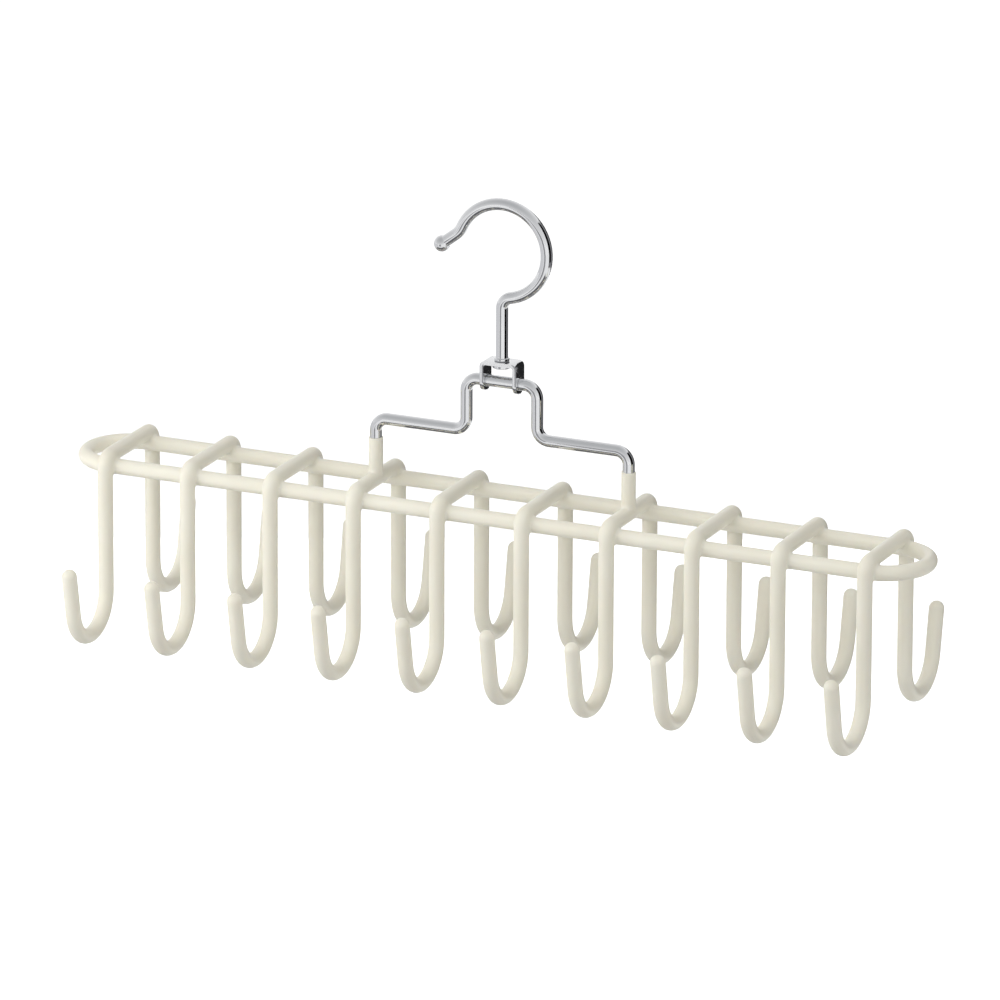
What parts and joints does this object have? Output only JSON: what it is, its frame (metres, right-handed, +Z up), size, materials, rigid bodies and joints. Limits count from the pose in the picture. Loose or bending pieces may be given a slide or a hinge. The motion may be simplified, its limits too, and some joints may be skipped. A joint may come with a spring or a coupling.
{
  "type": "multi-hook hanger",
  "caption": "Wire hanger with a swivel hook on a tilting bracket, and a long rack of dipped double-ended hooks for ties, belts and bags.",
  "frame": {"origin": "the inner top of the swivel hook's loop, where a closet rod carries the hanger", "axes": "+Z up along the hook's shank, +X along the rack towards the closed side of the loop, +Y across the rack"},
  "size_m": [0.3538, 0.11, 0.1872],
  "materials": {
    "chrome_plate": "bright nickel-chrome plate on steel wire and strip",
    "dip_coat": "satin cream PVC dip coat",
    "steel_core": "bare drawn steel wire, hidden under the coat"
  },
  "bodies": {
    "hook": {"swivel_hook": "chrome_plate"},
    "bracket": {"swivel_bracket": "chrome_plate"},
    "rack": {"frame_wire": "chrome_plate", "leg_coat_left": "dip_coat", "leg_coat_right": "dip_coat", "ring_wire": "steel_core", "ring_coat": "dip_coat", "hook_wire_01": "steel_core", "hook_wire_02": "steel_core", "hook_wire_03": "steel_core", "hook_wire_04": "steel_core", "hook_wire_05": "steel_core", "hook_wire_06": "steel_core", "hook_wire_07": "steel_core", "hook_wire_08": "steel_core", "hook_wire_09": "steel_core", "hook_wire_10": "steel_core", "hook_coat_01": "dip_coat", "hook_coat_02": "dip_coat", "hook_coat_03": "dip_coat", "hook_coat_04": "dip_coat", "hook_coat_05": "dip_coat", "hook_coat_06": "dip_coat", "hook_coat_07": "dip_coat", "hook_coat_08": "dip_coat", "hook_coat_09": "dip_coat", "hook_coat_10": "dip_coat"}
  },
  "joints": [
    {"name": "hook_swivel", "type": "hinge", "parent": "hook", "child": "bracket", "pos_m": [0, 0, -0.0674], "axis": [0, 0, 1], "continuous": true},
    {"name": "rack_tilt", "type": "hinge", "parent": "bracket", "child": "rack", "pos_m": [0, 0, -0.0674], "axis": [1, 0, 0], "range_deg": [-125, 125]}
  ]
}
